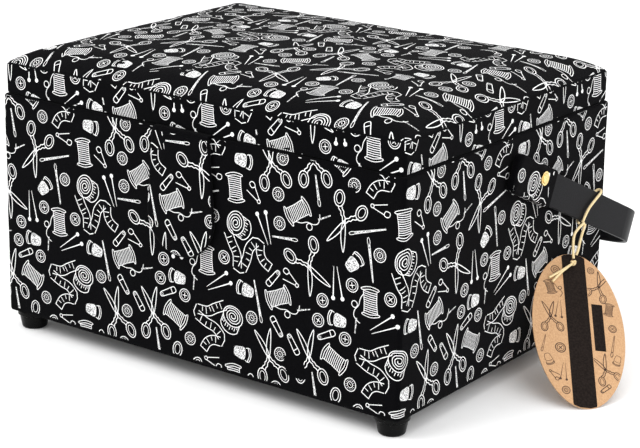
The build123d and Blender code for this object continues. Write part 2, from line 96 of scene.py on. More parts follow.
PIVOT = np.array([0.0, 0.0, 128.0])  # handle pivot
DROP = math.radians(24.5)  # the handle rests this far below level
STRAP_OUT, STRAP_T, STRAP_W = 166.0, 3.0, 22.0
LOOP_AT = 94.3  # the twine loop's place along the strap

TAG_FOOT = np.array([222.9, -5.6, -11.5])
TAG_HOLE = np.array([174.0, 57.8, 57.4])
TAG_FACES = np.array([0.54, -0.36, 0.76])
TAG_LENGTH, TAG_WIDTH, TAG_T = 112.0, 62.0, 0.8
TWINE_R = 0.9


def unit(v):
    v = np.asarray(v, float)
    return v / np.linalg.norm(v, axis=-1, keepdims=True)


TAG_UP = unit(TAG_HOLE - TAG_FOOT)
TAG_ACROSS = unit(np.cross(TAG_UP, TAG_FACES))
TAG_OUT = np.cross(TAG_ACROSS, TAG_UP)


def along_strap(x, s, t=0.0):
    """A point by its place along the resting handle (s) and across the strap's width (t)."""
    return PIVOT + np.array([x, s * math.cos(DROP) + t * math.sin(DROP),
                             t * math.cos(DROP) - s * math.sin(DROP)])


def on_tag(across, up, out):
    """A point by its place from the tag's hole."""
    return TAG_HOLE + TAG_ACROSS * across + TAG_UP * up + TAG_OUT * out


# -------- camera and cords
def add_object(name, data):
    added = bpy.data.objects.new(name, data)
    bpy.context.scene.collection.objects.link(added)
    return added


def make_camera():
    azimuth, elevation, roll = (math.radians(a) for a in (35.88, 17.39, 1.05))
    data = bpy.data.cameras.new("camera")
    data.sensor_width, data.lens = 36.0, 112.7
    data.clip_start, data.clip_end = 0.05, 50.0
    camera = add_object("camera", data)
    camera.location = (0.7654, -1.0413, 0.4683)
    camera.rotation_mode = "QUATERNION"
    camera.rotation_quaternion = (Matrix.Rotation(azimuth, 3, "Z")
                                  @ Matrix.Rotation(math.pi / 2 - elevation, 3, "X")
                                  @ Matrix.Rotation(roll, 3, "Z")).to_quaternion()
    bpy.context.scene.camera = camera


def twine(name, routes, body, node, steps=12, sides=5):
    """A piece of twine. Each route is a smooth spline: its control points, whether it closes, and
    how thick it is."""
    curve = bpy.data.curves.new(name, "CURVE")
    curve.dimensions = "3D"
    for points, closed, thickness in routes:
        spline = curve.splines.new("NURBS")
        spline.points.add(len(points) - 1)
        for control, point in zip(spline.points, points):
            control.co = (*(point * MM), 1.0)
            control.radius = thickness
        spline.order_u = 3
        spline.use_endpoint_u = not closed
        spline.use_cyclic_u = closed
        spline.resolution_u = steps
    curve.bevel_depth = TWINE_R * MM
    curve.bevel_resolution = sides
    curve.use_fill_caps = True
    curve.materials.append(FINISH["twine"])
    piece = add_object(name, curve)
    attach(piece, body)
    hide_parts(node)
    return piece


def make_cords():
    """The loop round the strap, the two strands down to the tag, and the knot in its hole."""
    gap = TWINE_R + 0.15
    outer, inner = STRAP_OUT + gap - 0.1, STRAP_OUT - STRAP_T - 1.5
    up, down = STRAP_W / 2 + gap, -STRAP_W / 2 - gap
    loop_route = [along_strap(*p) for p in (
        (outer, LOOP_AT, down), (outer + 0.5, LOOP_AT + 0.6, -4.0), (outer + 0.5, LOOP_AT + 8.0, 5.0),
        (outer, LOOP_AT + 17.0, up + 1.4), (inner, LOOP_AT + 17.6, up + 1.6),
        (inner - 0.4, LOOP_AT + 9.0, 1.0), (inner, LOOP_AT + 0.8, down - 0.6),
        (outer - 2.2, LOOP_AT - 0.2, down - 0.7))]
    loop = twine("twine_loop", [(loop_route, False, 1.0)], "handle", "string_loop")

    strap_edge = along_strap(STRAP_OUT + 2.95, LOOP_AT + 0.3, -STRAP_W / 2 - 1.7)
    front_route = [strap_edge, np.array([170.0, 74.0, 70.6]), on_tag(4.6, 8.6, -2.5),
                   on_tag(0.3, 1.2, -1.9)]
    back_route = [strap_edge + np.array([0.3, -2.2, 1.4]), np.array([169.4, 71.4, 77.6]),
                  np.array([170.6, 61.0, 73.2]), on_tag(-0.6, 1.6, 3.0)]
    knot = make_knot()
    front = twine("twine_front", [(front_route, False, 1.0)], "tag", "string_front")
    back = twine("twine_back", [(back_route, False, 1.0)], "tag", "string_back")


def make_knot():
    """An overhand knot of the same twine in front of the tag's hole, with two short tails."""
    centre = on_tag(-0.8, -1.6, 2.8)
    turns = []
    for a in 2 * math.pi * np.arange(30) / 30:  # a trefoil, flattened against the card
        across = math.sin(a) + 1.6 * math.sin(2 * a)
        up = math.cos(a) - 1.6 * math.cos(2 * a)
        turns.append(centre + TAG_ACROSS * 0.62 * across + TAG_UP * 0.56 * up
                     - TAG_OUT * 0.85 * math.sin(3 * a))
    routes = [(turns, True, 0.8)]
    for across, up, swing in ((-15.5, -15.4, 0.5), (-17.3, -12.9, -0.3)):
        way = unit(TAG_ACROSS * across + TAG_UP * up - TAG_OUT)
        side = np.cross(way, TAG_OUT)
        tail = [centre + way * t + side * swing * math.sin(t / 6.0)
                for t in (0.0, 4.0, 8.5, 13.0, 17.5, 21.5)]
        routes.append((tail, False, 0.9))
    routes.append(([on_tag(0.0, 0.0, -0.8), on_tag(-0.2, -0.4, 0.8), centre], False, 1.2))
    return twine("twine_knot", routes, "tag", "string_knot", steps=8, sides=4)


# -------- materials
def surface(name, colour, second, grain, roughness, bump=0.1, metallic=0.0, sheen=0.0,
            weave=0.0, fibre=(1.0, 1.0, 1.0), relief_mm=0.2, spread=(0.4, 0.6), gloss=0.5):
    """A procedural finish: two colours mixed by grain of a size in mm, and a relief of that grain
    and of a weave whose pitch is in mm."""
    material = bpy.data.materials.new(name)
    material.use_nodes = True
    nodes, links = material.node_tree.nodes, material.node_tree.links
    shader = nodes["Principled BSDF"]
    shader.inputs["Metallic"].default_value = metallic
    shader.inputs["Specular IOR Level"].default_value = gloss
    shader.inputs["Sheen Weight"].default_value = sheen
    shader.inputs["Sheen Roughness"].default_value = 0.4
    place = nodes.new("ShaderNodeTexCoord").outputs["Object"]
    stretch = nodes.new("ShaderNodeMapping")
    stretch.inputs["Scale"].default_value = fibre
    links.new(place, stretch.inputs["Vector"])
    grainy = nodes.new("ShaderNodeTexNoise")
    grainy.inputs["Scale"].default_value = 1.0 / (grain * MM)
    grainy.inputs["Detail"].default_value = 5.0
    links.new(stretch.outputs["Vector"], grainy.inputs["Vector"])
    ramp = nodes.new("ShaderNodeValToRGB")
    ramp.color_ramp.elements[0].position, ramp.color_ramp.elements[1].position = spread
    ramp.color_ramp.elements[0].color = (*colour, 1.0)
    ramp.color_ramp.elements[1].color = (*second, 1.0)
    links.new(grainy.outputs["Fac"], ramp.inputs["Fac"])
    links.new(ramp.outputs["Color"], shader.inputs["Base Color"])
    rough = nodes.new("ShaderNodeMapRange")
    rough.inputs["To Min"].default_value = roughness - 0.06
    rough.inputs["To Max"].default_value = min(1.0, roughness + 0.06)
    links.new(grainy.outputs["Fac"], rough.inputs["Value"])
    links.new(rough.outputs["Result"], shader.inputs["Roughness"])
    height = grainy.outputs["Fac"]
    if weave:
        for axis in "XYZ":
            wave = nodes.new("ShaderNodeTexWave")
            wave.bands_direction = axis
            wave.inputs["Scale"].default_value = 2 * math.pi / 20 / (weave * MM)
            wave.inputs["Distortion"].default_value = 0.6
            wave.inputs["Detail"].default_value = 1.0
            links.new(place, wave.inputs["Vector"])
            total = nodes.new("ShaderNodeMath")
            total.operation = "ADD"
            links.new(height, total.inputs[0])
            links.new(wave.outputs["Fac"], total.inputs[1])
            height = total.outputs[0]
    relief = nodes.new("ShaderNodeBump")
    relief.inputs["Strength"].default_value = bump
    relief.inputs["Distance"].default_value = relief_mm * MM
    links.new(height, relief.inputs["Height"])
    links.new(relief.outputs["Normal"], shader.inputs["Normal"])
    return material


def grey(value, blue=0.0):
    return (value, value, value + blue)


FINISH = {
    "printed_fabric": surface("black_cotton", grey(0.0008, 0.0003), grey(0.0045, 0.0008), 0.5, 0.85,
                              bump=0.5, sheen=0.018, weave=0.55, spread=(0.35, 0.8), gloss=0.02),
    "fibreboard": surface("fibreboard", (0.36, 0.24, 0.14), (0.5, 0.36, 0.22), 1.6, 0.85, bump=0.3,
                          fibre=(1.0, 1.0, 3.0)),
    "satin_lining": surface("champagne_satin", (0.36, 0.25, 0.125), (0.44, 0.32, 0.17), 3.0, 0.34,
                            bump=0.15, sheen=0.15, weave=0.35, fibre=(3.0, 1.0, 1.0)),
    "base_cloth": surface("base_cloth", grey(0.008), grey(0.02), 0.8, 0.95, bump=0.6, gloss=0.1),
    "foot_plastic": surface("gloss_black_plastic", grey(0.002), grey(0.003), 2.5, 0.28, bump=0.05,
                            gloss=0.08),
    "plated_steel": surface("zinc_plate", grey(0.55), grey(0.68), 1.0, 0.3, bump=0.1, metallic=1.0),
    "magnet": surface("nickel", (0.5, 0.48, 0.44), (0.6, 0.57, 0.52), 1.5, 0.25, bump=0.05,
                      metallic=1.0),
    "brass": surface("polished_brass", (0.78, 0.55, 0.2), (0.86, 0.66, 0.3), 1.2, 0.2, bump=0.08,
                     metallic=1.0),
    "foam": surface("foam", (0.78, 0.76, 0.68), (0.84, 0.82, 0.75), 1.0, 0.95, bump=0.8),
    "pin_cushion_fabric": surface("black_cushion", grey(0.008), grey(0.02), 0.6, 0.85, bump=0.5,
                                  sheen=0.2, weave=0.6, gloss=0.15),
    "strap_leather": surface("charcoal_strap", grey(0.004, 0.001), grey(0.0075, 0.0015), 1.1, 0.36,
                             bump=0.35, relief_mm=0.12, gloss=0.036),
    "twine": surface("waxed_twine", (0.68, 0.5, 0.24), (0.82, 0.68, 0.4), 0.5, 0.55, bump=0.5,
                     fibre=(1.0, 1.0, 0.4)),
    "kraft_card": surface("kraft_card", (0.46, 0.26, 0.13), (0.6, 0.37, 0.2), 0.9, 0.8, bump=0.2,
                          fibre=(1.0, 1.0, 0.5), spread=(0.3, 0.7), gloss=0.3),
    "tray_plastic": surface("warm_white_plastic", (0.5, 0.47, 0.41), (0.55, 0.52, 0.46), 6.0, 0.38,
                            bump=0.05),
}
WHITE_INK = surface("white_ink", grey(0.55), grey(0.93), 0.45, 0.8, bump=0.35, weave=0.55,
                    spread=(0.3, 0.55), gloss=0.2)
GREY_INK = surface("stippled_ink", grey(0.13), grey(0.85), 0.7, 0.82, bump=0.35, weave=0.55,
                   spread=(0.42, 0.56), gloss=0.2)
BROWN_INK = surface("brown_ink", (0.03, 0.012, 0.006), (0.08, 0.032, 0.014), 0.6, 0.75, bump=0.1)
DARK_INK = surface("dark_band", (0.008, 0.0052, 0.004), (0.016, 0.011, 0.009), 1.2, 0.6, bump=0.1,
                   gloss=0.06)


def finish_cad_nodes():
    for part in frame["record"]["subparts"]:
        for spot in frame["nodes"][part["node"]].material_slots:
            spot.material = FINISH[part["material_slot"]]


# -------- line drawings, in mm
LINE, FINE = 0.95, 0.62
PEN = 0.58  # share of each stroke's drawn width that the ink fills
WHITE, GREY = 0, 1


def smooth(points, closed=False, steps=5):
    """A Catmull-Rom curve through a few set points."""
    p = np.array(points, float)
    n = len(p)
    out = []
    for i in range(n if closed else n - 1):
        a, b, c, d = (p[(i + k) % n] if closed else p[min(max(i + k, 0), n - 1)]
                      for k in (-1, 0, 1, 2))
        for j in range(steps):
            t = j / steps
            out.append(0.5 * (2 * b + (c - a) * t + (2 * a - 5 * b + 4 * c - d) * t * t
                              + (3 * b - a - 3 * c + d) * t ** 3))
    if not closed:
        out.append(p[-1])
    return np.array(out)


def oval(x, y, rx, ry=None, turn=0.0, start=0.0, end=360.0, steps=20):
    """Points round an ellipse, or along an arc of it."""
    whole = end - start >= 360
    a = np.radians(np.linspace(start, end, steps, endpoint=not whole))
    u, v = rx * np.cos(a), (ry or rx) * np.sin(a)
    t = math.radians(turn)
    return np.stack([x + u * math.cos(t) - v * math.sin(t), y + u * math.sin(t) + v * math.cos(t)], 1)


def stroke(points, width=LINE, closed=False, ink=WHITE):
    """A pen line as a chain of quads."""
    p = np.array(points, float)
    width *= PEN
    ahead, behind = np.roll(p, -1, 0), np.roll(p, 1, 0)
    if not closed:
        ahead[-1], behind[0] = p[-1], p[0]
    into, away = p - behind, ahead - p
    if not closed:
        into[0], away[-1] = away[0], into[-1]
    into, away = unit(into), unit(away)
    mid = unit(into + away + 1e-9)
    mitre = 1 / np.maximum((mid * into).sum(1), 0.65)
    side = np.stack([-mid[:, 1], mid[:, 0]], 1) * (mitre * width / 2)[:, None]
    if not closed:  # a little past each end, as a pen leaves it
        p = p.copy()
        p[0] -= into[0] * width * 0.3
        p[-1] += away[-1] * width * 0.3
    left, right = p + side, p - side
    pairs = [(i, (i + 1) % len(p)) for i in range(len(p) if closed else len(p) - 1)]
    return [(np.array([left[i], right[i], right[j], left[j]]), ink) for i, j in pairs]


def fill(points, ink=WHITE):
    """A filled shape as a fan about its middle."""
    p = np.array(points, float)
    centre = p.mean(0)
    return [(np.array([centre, p[i], p[(i + 1) % len(p)]]), ink) for i in range(len(p))]


def placed(drawing, x=0.0, y=0.0, turn=0.0, scale=1.0, mirror=False):
    c, s = math.cos(math.radians(turn)), math.sin(math.radians(turn))
    matrix = np.array([[c, -s], [s, c]]) * scale
    if mirror:
        matrix = matrix @ np.diag([-1.0, 1.0])
    return [(p @ matrix.T + (x, y), ink) for p, ink in drawing]


def scissors(opening=19.0):
    """Two halves crossed at their screw, each a blade, a stepped shank and an oval bow."""
    half = stroke(smooth([(0.5, 1.0), (6.5, 1.9), (13, 1.3), (18.5, -0.5), (11, -1.2), (1, -0.9)],
                         True, 4), LINE, True)
    half += stroke([(-0.3, 1.1), (-3.4, 1.5), (-4.2, 2.5), (-6.4, 2.8), (-7.6, 4.2), (-9.6, 5.0)])
    half += stroke([(0.2, -0.9), (-3.2, -0.5), (-4.6, 0.5), (-6.8, 0.6), (-8.2, 1.8), (-9.8, 2.2)])
    half += stroke(oval(-14.2, 4.2, 5.2, 3.7, 8), LINE, True)
    half += stroke(oval(-14.4, 4.2, 3.5, 2.1, 8, steps=16), FINE, True)
    other = [(p * (1, -1), ink) for p, ink in half]
    return placed(half, turn=-opening) + placed(other, turn=opening) + fill(oval(0, 0, 0.9, steps=8))


def spool(thread=True):
    """A reel wound with thread, with a loose end that runs through a needle."""
    drawing = []
    for y in -6.6 + 1.36 * np.arange(10):
        drawing += stroke([(-4.5, y), (0, y + 0.25), (4.5, y + 0.95)], 0.8)
    for way in (1, -1):
        drawing += stroke(smooth([(-6.1, 8.3 * way), (0, 9.6 * way), (6.1, 8.3 * way),
                                  (5.4, 7.1 * way), (0, 7.9 * way), (-5.4, 7.1 * way)], True, 3),
                          0.8, True)
        drawing += stroke([(4.9 * way, -7), (4.5 * way, 0), (4.9 * way, 7)], 0.7)
    if thread:
        drawing += stroke(smooth([(4.8, 4.5), (7.2, 1.2), (8.6, -3.2), (11.6, -6.6), (12.4, -10.2),
                                  (10.2, -13.0), (8.2, -14.4)]), 0.8)
        drawing += stroke(oval(11.6, -3.0, 2.1, steps=14), 0.8, True)
        drawing += fill([(9.9, -11.6), (11.1, -11.6), (12.2, -21.4), (11.6, -21.6)], GREY)
    return drawing


def button(holes=2):
    drawing = stroke(oval(0, 0, 4.2, steps=22), 0.85, True)
    if holes == 2:
        drawing += stroke(oval(0, 0, 1.9, steps=14), 0.7, True)
        for way in oval(0, 0, 1.0, steps=14):
            drawing += stroke([way * 2.7, way * 3.2], 0.5)
        drawing += stroke([(-0.7, -0.3), (0.6, 0.4)], 0.7)
    else:
        drawing += stroke(oval(0, 0, 2.9, steps=18), 0.55, True)
        for way in (1, -1):
            drawing += stroke([(-1.2, -1.2 * way), (1.2, 1.2 * way)], 0.75)
    return drawing


def thimble():
    cap = smooth([(-3.9, -1.2), (-3.5, 3.2), (-2.3, 6.2), (2.3, 6.2), (3.5, 3.2), (3.9, -1.2),
                  (0, -2.3)], True, 3)
    drawing = fill(cap, GREY) + stroke(cap, 0.6, True)
    drawing += stroke(smooth([(-4.1, -2.6), (-4.7, -5.0), (-3.4, -6.2), (0, -6.9), (3.4, -6.2),
                              (4.7, -5.0), (4.1, -2.6)]), 0.8)
    drawing += stroke(smooth([(-4.5, -4.3), (0, -5.6), (4.5, -4.3)]), 0.9)
    return drawing


def closed_pin():
    drawing = stroke(smooth([(-6.5, 0.0), (-5.6, 1.6), (0, 1.9), (5.4, 2.1), (7.0, 1.3), (7.2, -0.9),
                             (5.6, -1.9), (0, -1.6), (-5.5, -1.3)], True, 3), 0.9, True)
    return drawing + stroke(oval(-4.9, 0.1, 0.8, steps=8), 0.5, True) + stroke([(3.6, -1.7), (3.9, 1.9)])


def open_pin():
    drawing = stroke(smooth([(6.8, 1.6), (7.3, -0.6), (5.8, -1.9), (3.6, -1.5), (3.9, 1.2)], True, 3),
                     0.85, True)
    drawing += stroke([(3.6, -1.3), (-5.2, -0.9)], 0.85) + stroke([(-5.0, 0.8), (3.6, 5.6)], 0.85)
    return drawing + stroke(oval(-5.6, 0.0, 1.2, steps=10), 0.8, True)


def two_pins():
    drawing = []
    for turn, shift in ((-7.0, 2.4), (6.0, -2.2)):
        pin = fill([(-9.0, -0.42), (-9.0, 0.42), (10.2, 0.14), (10.2, -0.14)])
        pin += fill(oval(-9.8, 0, 1.45, steps=9))
        drawing += placed(pin, 0.0, shift, turn)
    return drawing


def needle(length=27.0):
    tip, eye = length / 2, -length / 2
    drawing = fill([(eye + 4, -0.72), (eye + 4, 0.72), (tip, 0.25), (tip, -0.25)], GREY)
    for way in (1, -1):
        drawing += stroke([(eye + 4, 0.75 * way), (tip, 0.3 * way)], 0.42)
    return drawing + stroke(oval(eye + 2.1, 0, 2.3, 0.95, steps=12), 0.6, True)


def tape_band(path, width, ticks, closed_end=True):
    """A strip of measuring tape: two edges, an end, and long and short ticks from one edge."""
    p = smooth(path, steps=6)
    way = unit(np.gradient(p, axis=0))
    side = np.stack([-way[:, 1], way[:, 0]], 1) * width / 2
    drawing = stroke(p + side, 0.9) + stroke(p - side, 0.9)
    if closed_end:
        drawing += stroke([p[-1] + side[-1], p[-1] - side[-1]], 0.9)
    for k in range(1, ticks + 1):
        i = round(k * (len(p) - 1) / (ticks + 1))
        reach = 1.25 if k % 2 else 0.85
        drawing += stroke([p[i] - side[i] * 0.75, p[i] - side[i] * (0.75 - reach)], 0.75)
    return drawing


def tape_roll():
    """A tape measure rolled up on its side, its loose length folded to and fro."""
    x, y, rx, ry, turn = -10.5, -6.0, 7.8, 6.6, -35.0
    drawing = stroke(oval(x, y, rx, ry, turn, steps=26), 0.95, True)
    coils = np.concatenate([oval(x, y, rx * r, ry * r, turn, a, a + 45, 4)[:3]
                            for a, r in zip(range(0, 1080, 45), np.linspace(0.14, 0.84, 24))])
    drawing += stroke(coils, 0.85)
    across = np.array([3.4, 4.4])
    rim = oval(x, y, rx, ry, turn, 20, 150, 19)
    drawing += stroke(rim + across, 0.95) + stroke([rim[0], rim[0] + across], 0.95)
    drawing += stroke([rim[-1], rim[-1] + across], 0.95)
    for k in range(2, 18, 2):
        drawing += stroke([rim[k] + across * 0.15, rim[k] + across * (0.55 if k % 4 else 0.38)], 0.8)
    drawing += tape_band([(-6.0, -13.6), (2.0, -12.2), (9.0, -10.6), (17.0, -12.6)], 6.4, 6, False)
    drawing += tape_band([(18.6, -9.0), (12.4, -3.6), (6.0, 0.4), (2.4, 6.4)], 6.4, 5, False)
    drawing += tape_band([(4.4, 9.6), (10.0, 8.2), (15.0, 9.4), (19.4, 13.4)], 6.0, 4)
    drawing += stroke([(17.4, -15.7), (20.9, -11.4), (20.8, -8.2)], 0.95)
    return drawing + stroke([(-0.4, 4.8), (0.6, 9.0), (4.0, 12.6)], 0.95)


def notions_print(gap=2.3, tries=900):
    """One repeat of the print: drawings thrown one after another, each where it clears the others."""
    kinds = [(tape_roll(), 2), (scissors(), 3), (scissors(27.0), 1), (spool(), 3), (needle(), 3),
             (spool(False), 2), (two_pins(), 3), (thimble(), 4), (closed_pin(), 3), (open_pin(), 3),
             (button(2), 5), (button(4), 4), (needle(19.0), 2), (two_pins(), 1), (thimble(), 1),
             (closed_pin(), 1), (open_pin(), 1), (button(2), 2), (button(4), 2)]
    rng = random.Random(5)
    n = round(REPEAT / 0.8)
    cell = REPEAT / n
    taken = np.zeros((n, n), bool)
    reach = math.ceil(gap / cell)
    disc = [(i, j) for i in range(-reach, reach + 1) for j in range(-reach, reach + 1)
            if math.hypot(i, j) * cell <= gap]
    notions = []
    for drawing, count in kinds:
        marks = np.concatenate([p for p, _ in drawing] + [p.mean(0)[None] for p, _ in drawing])
        for _ in range(count):
            for _ in range(tries):
                x, y, turn = rng.uniform(0, REPEAT), rng.uniform(0, REPEAT), rng.uniform(0, 360)
                mirror = rng.random() < 0.5
                spots = placed([(marks, WHITE)], x, y, turn, 1.0, mirror)[0][0]
                index = np.floor(spots / cell).astype(int) % n
                if not taken[index[:, 0], index[:, 1]].any():
                    break
            else:
                continue
            notions += placed(drawing, x, y, turn, 1.0, mirror)
            for i, j in disc:
                taken[(index[:, 0] + i) % n, (index[:, 1] + j) % n] = True
    return notions


# -------- laying ink on cloth
def kept_below(polygon, offset):
    """What is left of a convex polygon where offset, known at its corners, isn't above 0."""
    kept = []
    for a, b, at_a, at_b in zip(polygon, np.roll(polygon, -1, 0), offset, np.roll(offset, -1)):
        if at_a <= 0:
            kept.append(a)
        if (at_a < 0 < at_b) or (at_b < 0 < at_a):
            kept.append(a + (b - a) * (at_a / (at_a - at_b)))
    return np.array(kept) if len(kept) > 2 else None


def split(polygon, axis, at):
    """The parts of a convex polygon on both sides of a line across one axis."""
    offset = polygon[:, axis] - at
    if offset.max() <= 1e-9 or offset.min() >= -1e-9:
        return [polygon]
    return [part for part in (kept_below(polygon, offset), kept_below(polygon, -offset))
            if part is not None]


def inside(polygon, outline):
    """What of a convex polygon lies inside a convex outline that runs anticlockwise."""
    for a, b in zip(outline, np.roll(outline, -1, 0)):
        way = b - a
        offset = way[1] * (polygon[:, 0] - a[0]) - way[0] * (polygon[:, 1] - a[1])  # above 0 is outside
        if offset.max() > 0:
            polygon = kept_below(polygon, offset)
        if polygon is None:
            return None
    return polygon


def trimmed(marks, low, high, cuts_x=(), cuts_y=(), outline=None):
    """Ink polygons inside a rectangle or a convex outline, cut along lines where the cloth bends."""
    corners = np.array([low, (high[0], low[1]), high, (low[0], high[1])])
    done = []
    for polygon, ink in marks:
        least, most = polygon.min(0), polygon.max(0)
        if (most <= low).any() or (least >= high).any():
            continue
        if (least < low).any() or (most > high).any():
            polygon = inside(polygon, corners)
        if polygon is not None and outline is not None:
            polygon = inside(polygon, outline)
        parts = [] if polygon is None else [polygon]
        for axis, cuts in ((0, cuts_x), (1, cuts_y)):
            for at in cuts:
                if least[axis] < at < most[axis]:
                    parts = [half for part in parts for half in split(part, axis, at)]
        done += [(part, ink) for part in parts]
    return done


def tiled(marks, low, high, shift=(0.0, 0.0)):
    """Copies of the repeat, all moved by shift, that cover a rectangle."""
    columns, rows = (range(math.floor((low[k] - shift[k]) / REPEAT) - 1,
                           math.ceil((high[k] - shift[k]) / REPEAT) + 1) for k in (0, 1))
    return [(p + (i * REPEAT + shift[0], j * REPEAT + shift[1]), ink)
            for i in columns for j in rows for p, ink in marks]


def quads(rows, columns, closed=True):
    """Faces between rows of points, each row a ring or an open line."""
    faces = []
    for r in range(rows - 1):
        for i in range(columns if closed else columns - 1):
            j = (i + 1) % columns
            faces.append((r * columns + i, (r + 1) * columns + i, (r + 1) * columns + j, r * columns + j))
    return faces


def make_mesh(name, points, faces, slot, body=None, replaces=(), materials=()):
    """A mesh piece from points in mm, in its slot's finish or in other materials. Only the floor and
    a piece that blends between two bodies have no body here."""
    mesh = bpy.data.meshes.new(name)
    mesh.from_pydata((np.asarray(points) * MM).tolist(), [], faces)
    mesh.update()
    for material in materials or [FINISH[slot]]:
        mesh.materials.append(material)
    mesh.polygons.foreach_set("use_smooth", [True] * len(mesh.polygons))
    piece = add_object(name, mesh)
    if body:
        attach(piece, body)
    if replaces:
        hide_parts(*replaces)
    return piece


def lay_ink(name, marks, place, base, body, proud=0.1):
    """Ink polygons on printed cloth: place() guesses where they go, and the cloth's surface decides."""
    flat = np.concatenate([p for p, _ in marks])
    keys, back = np.unique(np.round(flat, 3), axis=0, return_inverse=True)
    back = back.ravel()
    bpy.context.view_layer.update()
    tree = BVHTree.FromObject(base, bpy.context.evaluated_depsgraph_get())
    points = []
    for guess in place(keys):
        spot, normal, _, _ = tree.find_nearest(Vector(guess * MM))
        points.append(np.array(spot) / MM + np.array(normal) * proud)
    faces, which, at = [], [], 0
    for p, ink in marks:
        face = list(dict.fromkeys(int(v) for v in back[at:at + len(p)]))
        at += len(p)
        if len(face) > 2:
            faces.append(face)
            which.append(ink)
    piece = make_mesh(name, points, faces, "printed_fabric", body, materials=[WHITE_INK, GREY_INK])
    piece.data.polygons.foreach_set("material_index", which)
    face_outwards(piece, lambda spot: tree.find_nearest(spot)[1])


def face_outwards(piece, outwards):
    """Turns each ink polygon to face the way that outwards() gives at its middle."""
    bm = bmesh.new()
    bm.from_mesh(piece.data)
    for face in bm.faces:
        if face.normal.dot(outwards(face.calc_center_median())) < 0:
            face.normal_flip()
    bmesh.ops.dissolve_degenerate(bm, dist=1e-7, edges=bm.edges)
    bm.to_mesh(piece.data)
    bm.free()


def print_strip(name, cloth, body, outline, notions, low, high, rise):
    """Print round an outline as one strip, which holds whole repeats and so meets itself."""
    stretch = outline.total / (round(outline.total / REPEAT) * REPEAT)
    marks = [(p * (stretch, 1.0), ink)
             for p, ink in tiled(notions, (0, low), (outline.total, high), (0, rise))]
    bends = [s for k in (1, 3, 5, 7) for s in outline.starts[k] + outline.lengths[k] * np.arange(7) / 6]
    marks = trimmed(marks, (0.0, low), (outline.total - 1e-6, high), cuts_x=bends)
    lay_ink(name, marks, lambda p: np.column_stack([outline.at(p[:, 0])[0], p[:, 1]]), cloth, body)


# -------- rounded outlines and shells
class Outline:
    """A rounded rectangle about the Z axis, unrolled anticlockwise from the front's left end."""

    WAYS = np.array([(1, 0), (0, 1), (-1, 0), (0, -1)], float)
    OUT = np.roll(WAYS, 1, axis=0)
    CORNERS = WAYS + OUT

    def __init__(self, half_w, half_d, radius):
        self.half = np.array([half_w, half_d])
        self.radius = radius
        runs = 2 * (self.half - radius)
        arc = math.pi * radius / 2
        self.lengths = np.array([runs[0], arc, runs[1], arc] * 2)
        self.starts = np.concatenate([[0], np.cumsum(self.lengths)])
        self.total = self.starts[-1]

    def at(self, s, inset=0.0):
        """Points and outward directions at places s, on the outline drawn in by inset."""
        s = np.mod(np.asarray(s, float), self.total)
        radius = max(self.radius - inset, 0.05)
        span = np.clip(np.searchsorted(self.starts, s, "right") - 1, 0, 7)
        share = ((s - self.starts[span]) / self.lengths[span])[:, None]
        side, bend = span // 2, (span % 2 == 1)[:, None]
        corner = self.CORNERS[side] * (self.half - inset - radius)
        before = self.CORNERS[side - 1] * (self.half - inset - radius)
        turn = np.where(bend, share * math.pi / 2, 0.0)
        outs = self.OUT[side] * np.cos(turn) + self.WAYS[side] * np.sin(turn)
        return np.where(bend, corner, before + (corner - before) * share) + outs * radius, outs

    def places(self, counts):
        """A set number of places on each side and corner, so that outlines of other sizes match."""
        return np.concatenate([start + length * np.arange(n) / n
                               for start, length, n in zip(self.starts, self.lengths, counts)])

    def stations(self, step, bends=6):
        """Places about step apart on the straights, and as many as bends in each corner."""
        return self.places([bends if k % 2 else max(2, round(length / step))
                            for k, length in enumerate(self.lengths)])


def ripple(p, scale, amount, seed=0.0):
    """A slow, repeatable unevenness for a point in mm."""
    return amount * noise.noise(Vector((p[0] / scale + seed, p[1] / scale - seed, p[2] / scale)))


def ring_shell(outline, stations, section, wobble=None, capped=False):
    """Points and faces of a shell swept round an outline. section gives (inset, height), the height
    a number or a function of the plan point. wobble moves a point outwards, and past the corners'
    radius upwards too. A cap closes the last ring."""
    points = []
    for inset, height in section:
        plan, outs = outline.at(stations, inset)
        for (x, y), (out_x, out_y) in zip(plan, outs):
            z = height(x, y) if callable(height) else height
            move = wobble((x, y, z), inset) if wobble else 0.0
            points.append((x + out_x * move, y + out_y * move, z + (move if inset > CORNER_R else 0.0)))
    faces = quads(len(section), len(stations))
    if capped:
        faces.append(tuple(range(len(points) - len(stations), len(points))))
    return np.array(points), faces


def thicken(piece, thickness):
    """Gives a skin its thickness, inwards."""
    solid = piece.modifiers.new("thickness", "SOLIDIFY")
    solid.thickness = thickness * MM
    solid.offset = -1.0
    bpy.context.view_layer.update()
    mesh = bpy.data.meshes.new_from_object(piece.evaluated_get(bpy.context.evaluated_depsgraph_get()))
    piece.modifiers.clear()
    piece.data = mesh


# -------- body
BODY = Outline(BODY_HIGH[0], BODY_HIGH[1], CORNER_R)
LID = Outline(LID_HIGH[0], LID_HIGH[1], CORNER_R)


def make_body_cover():
    """The glued cloth skin: turned in over the rim at the top and under the base."""
    top = BODY_HIGH[2] - 0.2
    section = [(12.0, 0.25), (1.8, 0.2), (0.7, 0.45), (0.2, 1.1)]
    section += [(0.0, z) for z in np.linspace(2.2, top - 2.2, 30)]
    section += [(0.15, top - 1.1), (0.6, top - 0.4), (1.5, top), (5.2, top), (5.8, top - 0.5),
                (6.0, top - 2.0)]

    def wobble(p, inset):
        near_edge = min(1.0, min(p[2], top - p[2]) / 12.0) if inset < 0.1 else 0.0
        return near_edge * (ripple(p, 34.0, 0.32) + ripple(p, 95.0, 0.4, 3.0))

    points, faces = ring_shell(BODY, BODY.stations(4.5), section, wobble)
    faces = [f[::-1] for f in faces]  # outwards
    cover = make_mesh("body_cloth", points, faces, "printed_fabric", "box", ["body_cover"])
    thicken(cover, 0.6)
    return cover


